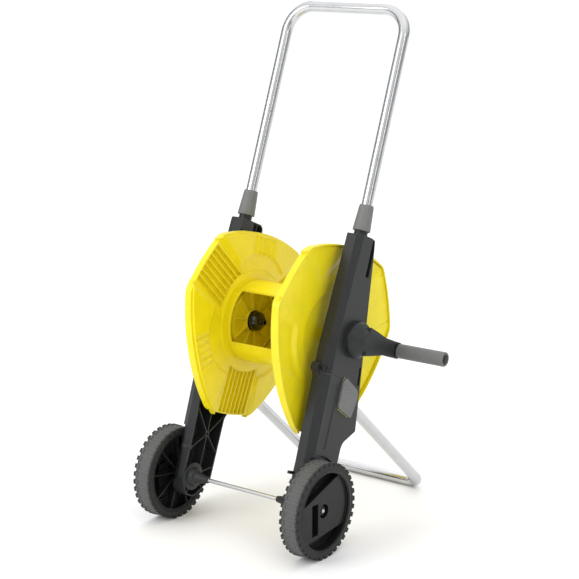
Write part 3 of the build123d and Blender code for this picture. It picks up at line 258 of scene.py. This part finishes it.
def split(tree, vector):
    node = tree.nodes.new("ShaderNodeSeparateXYZ")
    link(tree, vector, node.inputs[0])
    return node.outputs


def catch_ribs(tree, vector):
    """Faint grip ribs across the catch: height = (1 + sin(2 pi u / 3 mm)) / 2 along the leg."""
    x, y, z = split(tree, vector)
    along = math_node(
        tree, "ADD",
        math_node(tree, "MULTIPLY", y, ALONG_LEG.y),
        math_node(tree, "MULTIPLY", z, ALONG_LEG.z),
    )
    wave = math_node(tree, "SINE", math_node(tree, "MULTIPLY", along, 2 * pi / 0.003))
    return math_node(tree, "MULTIPLY_ADD", wave, 0.5, 0.5)


def drawn_lines(tree, vector):
    """Very fine lines of drawn tube, as noise stretched along the vertical."""
    stretch = tree.nodes.new("ShaderNodeMapping")
    stretch.inputs["Scale"].default_value = (1.0, 1.0, 0.04)
    link(tree, vector, stretch.inputs["Vector"])
    return noise_node(tree, stretch.outputs[0], 3000.0, 2.0)


TYRE_LOW, TYRE_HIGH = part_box("tyre_right")
TYRE_X = (TYRE_LOW[0] + TYRE_HIGH[0]) / 2
TYRE_HALF = (TYRE_HIGH[0] - TYRE_LOW[0]) / 2


def painted_tread_shade(tree, vector):
    """Painted light and shade on the tread's relief: grey on its middle, black on its shoulders. 1 at
    the tyre's middle, 0 on its shoulders.
    """
    x = math_node(tree, "ABSOLUTE", split(tree, vector)[0])
    off_middle = math_node(tree, "ABSOLUTE", math_node(tree, "SUBTRACT", x, TYRE_X))
    return map_range(tree, off_middle, 0.62 * TYRE_HALF, 0.86 * TYRE_HALF, 1.0, 0.0)


# %% [markdown]
# ## Materials
# The drum is glossy yellow moulding, the legs and wheels are darker, finely grained plastic, and
# the parts for the hand are mid grey. Tubes are drawn and polished metal. Rounded edges carry a
# painted highlight. The middle of each tread is painted grey and its shoulders stay black, as
# painted light and shade for the tread's relief.

# %% materials
YELLOW = (0.84, 0.70, 0.006)
BLACK = (0.018, 0.019, 0.020)
GREY = (0.150, 0.155, 0.150)

# The fourth value of each material is the colour of the painted highlight on its rounded edges.
MATERIALS = {
    "yellow_plastic": skin_material(
        "Yellow Plastic", YELLOW, 0.34, (0.95, 0.84, 0.10), grain=0.05, spread=0.10, edge=0.0009,
        specular=0.45,
    ),
    "black_plastic": skin_material(
        "Black Plastic", BLACK, 0.42, (0.085, 0.088, 0.090), grain=0.30, grain_scale=2200.0,
        edge=0.0010, specular=0.32,
    ),
    "grey_plastic": skin_material(
        "Grey Plastic", GREY, 0.52, (0.21, 0.215, 0.21), grain=0.30, grain_scale=2200.0,
    ),
    "bright_tube": skin_material(
        "Bright Tube", (0.58, 0.59, 0.60), 0.17, None, grain=0.0, spread=0.06, edge=0.0002,
        relief=drawn_lines, relief_depth=0.00002, metallic=1.0,
    ),
    "zinc_steel": skin_material(
        "Zinc Steel", (0.50, 0.50, 0.51), 0.30, (0.8, 0.8, 0.8), grain=0.12, spread=0.16,
        edge=0.0003, metallic=1.0,
    ),
    # Painted shade: the tread is tinted grey on its middle and left black on its shoulders, standing in
    # for the light and shade on its relief.
    "tyre_rubber": skin_material(
        "Tyre Rubber", (0.022, 0.023, 0.022), 0.66, (0.05, 0.05, 0.05), grain=0.5,
        edge=0.0008, specular=0.3, tint=painted_tread_shade, tint_colour=(0.105, 0.108, 0.105),
    ),
    "seal_rubber": skin_material("Seal Rubber", (0.015, 0.015, 0.015), 0.55, grain=0.2),
}
GRIP = skin_material(
    "Grip Plastic", GREY, 0.55, (0.20, 0.205, 0.20), grain=0.2, edge=0.0002,
)
CATCH = skin_material(
    "Catch Plastic", GREY, 0.55, (0.20, 0.205, 0.20), grain=0.2, relief=catch_ribs, relief_depth=0.0005,
)
GLOSS_BLACK = skin_material(
    "Gloss Black Plastic", (0.010, 0.010, 0.011), 0.16, (0.03, 0.03, 0.03), grain=0.02, coat=0.4,
)
DARK_SCREW = skin_material(
    "Dark Screw", (0.05, 0.05, 0.052), 0.38, (0.10, 0.10, 0.10), metallic=1.0,
)
WHEEL_BLACK = skin_material(
    "Wheel Plastic", (0.009, 0.0095, 0.010), 0.36, (0.055, 0.057, 0.058), grain=0.25, edge=0.0010,
    specular=0.22,
)
SPECIAL = {
    "wheel_left": WHEEL_BLACK,
    "wheel_right": WHEEL_BLACK,
    "axle_caps": WHEEL_BLACK,
    "leg_screws": DARK_SCREW,
    "crank_grip": GRIP,
    "stand_catch_left": CATCH,
    "stand_catch_right": CATCH,
    "hose_connector": GLOSS_BLACK,
}

slot_of = {row["node"]: row["material_slot"] for row in frame["record"]["subparts"]}
for name, node in frame["nodes"].items():
    node.data.materials.clear()
    node.data.materials.append(SPECIAL.get(name, MATERIALS[slot_of[name]]))
print(len(frame["nodes"]), "nodes with", len(bpy.data.materials), "materials")

# %% [markdown]
# ## Grip sleeve
# The real sleeve is a moulding with fine rings and a hollow end. A profile carried round the
# axis gives every ring as real shape, which a bump map would lose on the outline.

# %% shapes from arrays


def smooth_step(low, high, value):
    """3 t^2 - 2 t^3 with t = (value - low) / (high - low), held between 0 and 1."""
    t = np.clip((value - low) / (high - low), 0.0, 1.0)
    return t * t * (3.0 - 2.0 * t)


def piece_from(name, points, faces, material, body):
    """A smooth mesh at the origin from corner arrays, riding on a body and taking a slot."""
    mesh = bpy.data.meshes.new(name)
    mesh.from_pydata(points.tolist(), [], faces.tolist())
    mesh.polygons.foreach_set("use_smooth", np.full(len(mesh.polygons), True))
    mesh.materials.append(material)
    mesh.set_sharp_from_angle(angle=radians(35))
    thing = bpy.data.objects.new(name, mesh)
    bpy.context.scene.collection.objects.link(thing)
    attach(thing, body)
    print(name, len(mesh.polygons), "faces")
    return thing


def grid_faces(rows, columns, wrap_rows=False, wrap_columns=False):
    """Corner numbers of the quads of a grid stored row by row."""
    i = np.arange(rows if wrap_rows else rows - 1)
    j = np.arange(columns if wrap_columns else columns - 1)
    i, j = (v.ravel() for v in np.meshgrid(i, j, indexing="ij"))
    i_next, j_next = (i + 1) % rows, (j + 1) % columns
    corners = [i * columns + j, i * columns + j_next, i_next * columns + j_next, i_next * columns + j]
    return np.stack(corners, axis=1)


def turned_about_x(x, radius, centre_y, centre_z, steps):
    """Closed ring surface: y = centre_y + r cos a, z = centre_z + r sin a for a closed (x, r) loop."""
    angle = np.linspace(0.0, 2.0 * pi, steps, endpoint=False)
    y = centre_y + radius[:, None] * np.cos(angle)
    z = centre_z + radius[:, None] * np.sin(angle)
    points = np.stack([np.repeat(x[:, None], steps, axis=1), y, z], axis=-1).reshape(-1, 3)
    return points, grid_faces(len(x), steps, wrap_rows=True, wrap_columns=True)


# %% grip sleeve
GRIP_LOW, GRIP_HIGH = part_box("crank_grip")
GRIP_R = (GRIP_HIGH[2] - GRIP_LOW[2]) / 2
GRIP_Y = (GRIP_HIGH[1] + GRIP_LOW[1]) / 2
GRIP_Z = (GRIP_HIGH[2] + GRIP_LOW[2]) / 2
GRIP_BORE_R = 0.00506
GRIP_WALL = 0.0034
GRIP_HOLLOW = 0.016
GRIP_ROUND = 0.0016
RING_PITCH = 0.0024
RING_DEPTH = 0.00035

root_x, tip_x = GRIP_LOW[0], GRIP_HIGH[0]
quarter = np.linspace(0.0, pi / 2, 6)
outer_x = np.linspace(root_x + GRIP_ROUND, tip_x - GRIP_ROUND, 340)
rings = RING_DEPTH * (1 - np.cos(2 * pi * (outer_x - root_x) / RING_PITCH)) / 2
rings = rings * smooth_step(0.006, 0.008, outer_x - root_x) * smooth_step(0.005, 0.007, tip_x - outer_x)
sleeve_x = np.concatenate([
    [root_x, root_x],
    root_x + GRIP_ROUND * (1 - np.cos(quarter[1:-1])),
    outer_x,
    tip_x - GRIP_ROUND * (1 - np.sin(quarter[::-1][1:-1])),
    [tip_x, tip_x, tip_x - GRIP_HOLLOW, tip_x - GRIP_HOLLOW],
])
sleeve_r = np.concatenate([
    [GRIP_BORE_R, GRIP_R - GRIP_ROUND],
    GRIP_R - GRIP_ROUND * (1 - np.sin(quarter[1:-1])),
    GRIP_R - rings,
    GRIP_R - GRIP_ROUND * (1 - np.cos(quarter[::-1][1:-1])),
    [GRIP_R - GRIP_ROUND, GRIP_R - GRIP_WALL, GRIP_R - GRIP_WALL, GRIP_BORE_R],
])
points, faces = turned_about_x(sleeve_x, sleeve_r, GRIP_Y, GRIP_Z, 72)
grip = piece_from("grip_sleeve", points, faces[:, ::-1], GRIP, "grip")
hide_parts("crank_grip")

# %% [markdown]
# ## Relief of the flanges
# Between its ribbed sectors a real flange has softly formed panels: a swirling fold outside,
# a curved step and a row of gills inside. Each panel is a height over the cone of the web,
# on a grid that follows the lobe's own outline.

# %% flange panels
RIM_TO_WEB = 0.01925  # from the rim inwards to the inner face of the web at the hub ring
WEB_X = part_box("flange_right")[1][0] - RIM_TO_WEB
HUB_RING_R = 0.090
WEB_SLOPE = 8.0 / 85.0
WEB_PAD = 0.0085
WEB_SKIN = 0.0024
SECTOR_HALF = 0.0415
LOBE_R = 0.153
LOBE_ARC_R = 0.3435
LOBE_DIRECTIONS = [72.0, 192.0, 312.0]
PANEL_ROWS, PANEL_COLUMNS = 56, 110
STEP_LOW = 0.0007
STEP_RISE = 0.0036
GILL_PITCH = 0.013
GILL_DEPTH = 0.0033
GILL_REACH = 0.032  # half the width of the row of gills
GILL_FROM, GILL_TO = 0.112, 0.144  # distances of the gills' ends from the drum's axis


def lobe_edge(angle):
    """Distance of the lobe's arc from the drum's axis: r = c cos a + sqrt(R^2 - c^2 sin^2 a)."""
    offset = LOBE_R - LOBE_ARC_R
    return offset * np.cos(angle) + np.sqrt(LOBE_ARC_R**2 - (offset * np.sin(angle)) ** 2)


def swirl_height(t, s, along, across):
    """Outside: a shallow basin, deeper on one side of a fold that swirls out from the hub."""
    basin = smooth_step(0.0, 0.22, 1 - np.abs(s)) * smooth_step(0.0, 0.25, t)
    fold = smooth_step(-0.10, 0.16, s - 0.75 + 1.35 * t - 0.45 * t * t)
    rim = 1 - 0.55 * smooth_step(0.80, 1.0, t)
    return WEB_PAD + 0.0002 - 0.0046 * basin * (1 - 0.62 * fold) * rim


def gill_height(t, s, along, across):
    """Inside: a band raised beyond a curved step, with five gills, each a ramp and a drop."""
    band = smooth_step(0.40, 0.47, t - 0.14 * np.cos(2.4 * s) + 0.10)
    height = STEP_LOW + STEP_RISE * band * smooth_step(0.0, 0.10, 1 - np.abs(s))
    ramp = np.mod(across / GILL_PITCH + 0.5, 1.0)
    gill = smooth_step(0.0, 0.85, ramp) * smooth_step(0.0, 0.12, 1 - ramp)
    inside = smooth_step(-GILL_REACH - 0.001, -GILL_REACH, -np.abs(across))
    length = smooth_step(GILL_FROM, GILL_FROM + 0.004, along)
    length = length * smooth_step(-GILL_TO - 0.003, -GILL_TO, -along)
    return height - GILL_DEPTH * gill * inside * length


def lobe_panel(direction, outwards, height_of):
    """Closed panel over a lobe: its top is at a height over the cone, its bottom in the web.

    Row t runs from the hub ring to the rim, column s from one ribbed sector to the next:
    r = hub + t (edge(a) - hub), a = s (60 deg - asin(sector / r)).
    """
    t, s = np.meshgrid(np.linspace(0, 1, PANEL_ROWS), np.linspace(-1, 1, PANEL_COLUMNS), indexing="ij")
    guess = HUB_RING_R + t * 0.072
    angle = s * (radians(60) - np.arcsin(SECTOR_HALF / guess))
    radius = HUB_RING_R - 0.001 + t * (lobe_edge(angle) - 0.0030 - HUB_RING_R)
    height = height_of(t, s, radius * np.cos(angle), radius * np.sin(angle))
    cone = WEB_X + WEB_SLOPE * (radius - HUB_RING_R)
    top = cone + height if outwards else cone - height
    bottom = cone + (WEB_SKIN - 0.0008 if outwards else 0.0012)
    turn = radians(direction) + angle
    y = DRUM_Y + radius * np.cos(turn)
    z = DRUM_Z + radius * np.sin(turn)
    upper = np.stack([top, y, z], axis=-1)
    lower = np.stack([bottom, y, z], axis=-1)
    return closed_slab(upper, lower, outwards)


def closed_slab(upper, lower, outwards):
    """Two grids of the same size joined round their border."""
    rows, columns = upper.shape[:2]
    count = rows * columns
    points = np.concatenate([upper.reshape(-1, 3), lower.reshape(-1, 3)])
    face = grid_faces(rows, columns)
    number = np.arange(count).reshape(rows, columns)
    border = np.concatenate([number[0, :-1], number[:-1, -1], number[-1, :0:-1], number[:0:-1, 0]])
    after = np.roll(border, -1)
    wall = np.stack([border, border + count, after + count, after], axis=1)
    faces = np.concatenate([face[:, ::-1], face + count, wall[:, ::-1]])
    return points, faces if outwards else faces[:, ::-1]


def joined(parts):
    """One pair of corner arrays from several."""
    points, faces, base = [], [], 0
    for some_points, some_faces in parts:
        points.append(some_points)
        faces.append(some_faces + base)
        base += len(some_points)
    return np.concatenate(points), np.concatenate(faces)


def outward(thing):
    """Recalculates a closed piece's normals so that they point outwards."""
    work = bmesh.new()
    work.from_mesh(thing.data)
    bmesh.ops.recalc_face_normals(work, faces=work.faces)
    work.to_mesh(thing.data)
    work.free()


YELLOW_SKIN = MATERIALS["yellow_plastic"]
for side, sign in (("right", 1.0), ("left", -1.0)):
    for kind, outwards, height_of in (("swirl", True, swirl_height), ("gill", False, gill_height)):
        points, faces = joined([lobe_panel(d, outwards, height_of) for d in LOBE_DIRECTIONS])
        points[:, 0] *= sign
        panel = piece_from(f"{kind}_panels_{side}", points, faces, YELLOW_SKIN, "drum")
        outward(panel)

# %% [markdown]
# ## Window teeth
# A row of little blocks edges the barrel beside its window. They are one tiny shape repeated,
# so they are one array of offsets.

# %% window teeth
TOOTH = np.array([0.0017, 0.0009, 0.0013])  # half sizes along the drum, round it and outwards
CUBE = np.array([[x, y, z] for x in (-1, 1) for y in (-1, 1) for z in (-1, 1)], dtype=float)
CUBE_FACES = np.array(
    [[0, 1, 3, 2], [4, 6, 7, 5], [0, 4, 5, 1], [2, 3, 7, 6], [0, 2, 6, 4], [1, 5, 7, 3]]
)
BARREL_R = 0.072
WINDOW_EDGES = (119.6, 200.4)  # degrees round the barrel
TOOTH_PITCH = 0.006
TOOTH_REACH = 0.066
teeth = []
for degrees_round in WINDOW_EDGES:
    turn = radians(degrees_round)
    radial = np.array([0.0, cos(turn), sin(turn)])
    round_it = np.array([0.0, -sin(turn), cos(turn)])
    corner = CUBE * TOOTH
    shape = corner[:, :1] * np.array([1.0, 0, 0]) + corner[:, 1:2] * round_it + corner[:, 2:] * radial
    centre = np.array([0.0, DRUM_Y, DRUM_Z]) + radial * (BARREL_R + 0.0003)
    for x in np.arange(-TOOTH_REACH, TOOTH_REACH + 0.0001, TOOTH_PITCH):
        teeth.append((shape + centre + np.array([x, 0, 0]), CUBE_FACES))
points, faces = joined(teeth)
outward(piece_from("window_teeth", points, faces, YELLOW_SKIN, "drum"))

# %% [markdown]
# ## Tread pads
# The moulded tread has rows of low oval pads, staggered from row to row.

# %% tread marks
MARK_HEIGHT = 0.0007
MARK_SINK = 0.0004
MARKS_ROUND = 72
MARK_SIDES = 12
TREAD_DROP = 0.0016  # how far the tread lies below the tops of its knobs
MARK_ROWS = (-0.0078, -0.0026, 0.0026, 0.0078)


def oval_mark(half_x, half_y):
    """A low oval pad: three rings shrink as it rises, height = top (1 - q^2) at the share q."""
    angle = np.linspace(0, 2 * pi, MARK_SIDES, endpoint=False)
    share = np.array([1.0, 0.92, 0.55])
    height = np.array([-MARK_SINK, MARK_HEIGHT * 0.6, MARK_HEIGHT])
    x = half_x * share[:, None] * np.cos(angle)
    y = half_y * share[:, None] * np.sin(angle)
    z = np.repeat(height[:, None], MARK_SIDES, axis=1)
    faces = grid_faces(3, MARK_SIDES, wrap_columns=True).tolist()
    faces.append(list(range(2 * MARK_SIDES, 3 * MARK_SIDES)))
    faces.append(list(range(MARK_SIDES))[::-1])
    return np.stack([x, y, z], axis=-1).reshape(-1, 3), faces


def tread_marks_on(side):
    """Rows of pads bent round one tyre: x stays, y becomes an angle and z a radius."""
    low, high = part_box(f"tyre_{side}")
    centre_x = (low[0] + high[0]) / 2
    tread_r = (high[2] - low[2]) / 2 - TREAD_DROP
    shape, shape_faces = oval_mark(0.0014, 0.0021)
    points, faces = [], []
    for i in range(MARKS_ROUND):
        for row in MARK_ROWS:
            shift = 0.0013 if i % 2 else -0.0013
            turn = 2 * pi * (i + 0.5) / MARKS_ROUND + shape[:, 1] / tread_r
            radius = tread_r + shape[:, 2]
            place = [centre_x + row + shift + shape[:, 0], radius * np.sin(turn)]
            place.append(WHEEL_R + radius * np.cos(turn))
            base = len(points) * len(shape)
            points.append(np.stack(place, axis=-1))
            faces += [[base + corner for corner in face] for face in shape_faces]
    mesh = bpy.data.meshes.new(f"tread_marks_{side}")
    mesh.from_pydata(np.concatenate(points).tolist(), [], faces)
    mesh.materials.append(MATERIALS["tyre_rubber"])
    marks = bpy.data.objects.new(f"tread_marks_{side}", mesh)
    bpy.context.scene.collection.objects.link(marks)
    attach(marks, f"wheel_{side}")
    outward(marks)
    print(marks.name, len(mesh.polygons), "faces")


for side in ("left", "right"):
    tread_marks_on(side)

# %% [markdown]
# ## Studio
# A pale floor that fades into a white surround, one large soft key from the left, a fill from
# the right and dark flags that draw the dark line on the bright tube.

# %% studio


def stage_material():
    material = bpy.data.materials.new("Pale Floor")
    material.use_nodes = True
    tree = material.node_tree
    shader = tree.nodes["Principled BSDF"]
    coordinates = tree.nodes.new("ShaderNodeTexCoord").outputs["Object"]
    patch = noise_node(tree, coordinates, 6.0)
    base = mixed_colour(tree, patch, (0.90, 0.90, 0.90), (0.94, 0.94, 0.94))
    link(tree, base, shader.inputs["Base Color"])
    shader.inputs["Roughness"].default_value = 0.8
    return material


def plane_mesh(name, half_x, half_y):
    """A flat rectangle about its own origin, facing +Z."""
    mesh = bpy.data.meshes.new(name)
    corners = [(-half_x, -half_y, 0), (half_x, -half_y, 0), (half_x, half_y, 0), (-half_x, half_y, 0)]
    mesh.from_pydata(corners, [], [(0, 1, 2, 3)])
    thing = bpy.data.objects.new(name, mesh)
    bpy.context.scene.collection.objects.link(thing)
    return thing


floor = plane_mesh("floor", 60.0, 60.0)
floor.data.materials.append(stage_material())


def aimed(thing, at, towards):
    """Places an object so that its -Z axis points towards a place."""
    direction = Vector(towards) - Vector(at)
    thing.matrix_world = Matrix.Translation(at) @ direction.to_track_quat("-Z", "Y").to_matrix().to_4x4()


def area_light(name, at, towards, width, height, power):
    data = bpy.data.lights.new(name, "AREA")
    data.shape = "RECTANGLE"
    data.size = width
    data.size_y = height
    data.energy = power
    light = bpy.data.objects.new(name, data)
    bpy.context.scene.collection.objects.link(light)
    aimed(light, at, towards)
    return light


MIDDLE = (0.0, 0.12, 0.40)
area_light("key", (-1.2, -2.9, 2.0), MIDDLE, 1.6, 1.6, 42)
area_light("fill", (2.9, -1.2, 1.5), MIDDLE, 1.0, 2.2, 16)
area_light("back", (-1.0, 2.6, 1.8), MIDDLE, 1.6, 1.4, 9)


def flag(name, at, towards, half_x, half_y):
    """A dark card that only reflections see."""
    card = plane_mesh(name, half_x, half_y)
    material = bpy.data.materials.new(name)
    material.use_nodes = True
    shader = material.node_tree.nodes["Principled BSDF"]
    shader.inputs["Base Color"].default_value = (0.005, 0.005, 0.005, 1)
    shader.inputs["Roughness"].default_value = 1.0
    card.data.materials.append(material)
    aimed(card, at, towards)
    card.visible_camera = False
    card.visible_shadow = False
    card.visible_diffuse = False
    return card


flag("flag_right", (2.3, -1.1, 0.9), MIDDLE, 0.28, 1.2)
flag("flag_left", (-2.2, 0.3, 0.9), MIDDLE, 0.30, 1.2)

world = bpy.data.worlds.new("White Surround")
world.use_nodes = True
tree = world.node_tree
background = tree.nodes["Background"]
toward = tree.nodes.new("ShaderNodeTexCoord").outputs["Generated"]
height = map_range(tree, split(tree, toward)[2], -0.05, 0.85, 0.20, 1.40)
ray = tree.nodes.new("ShaderNodeLightPath").outputs["Is Camera Ray"]
unseen = math_node(tree, "SUBTRACT", 1.0, ray)
strength = math_node(tree, "ADD", math_node(tree, "MULTIPLY", unseen, height), ray)
background.inputs["Color"].default_value = (1.0, 1.0, 1.0, 1.0)
link(tree, strength, background.inputs["Strength"])
bpy.context.scene.world = world
bpy.context.scene.view_settings.view_transform = "Standard"

# %% [markdown]
# ## Camera
# A long lens a little above the handle, turned to the crank's side.

# %% camera
camera_data = bpy.data.cameras.new("camera")
camera_data.sensor_width = 36.0
camera_data.lens = 98.95
camera = bpy.data.objects.new("camera", camera_data)
camera.location = (1.5893, -1.9943, 1.0270)
camera.rotation_euler = (radians(90 - 13.2), 0.0, radians(36.76))
bpy.context.scene.collection.objects.link(camera)
bpy.context.scene.camera = camera
print("camera at", tuple(camera.location))
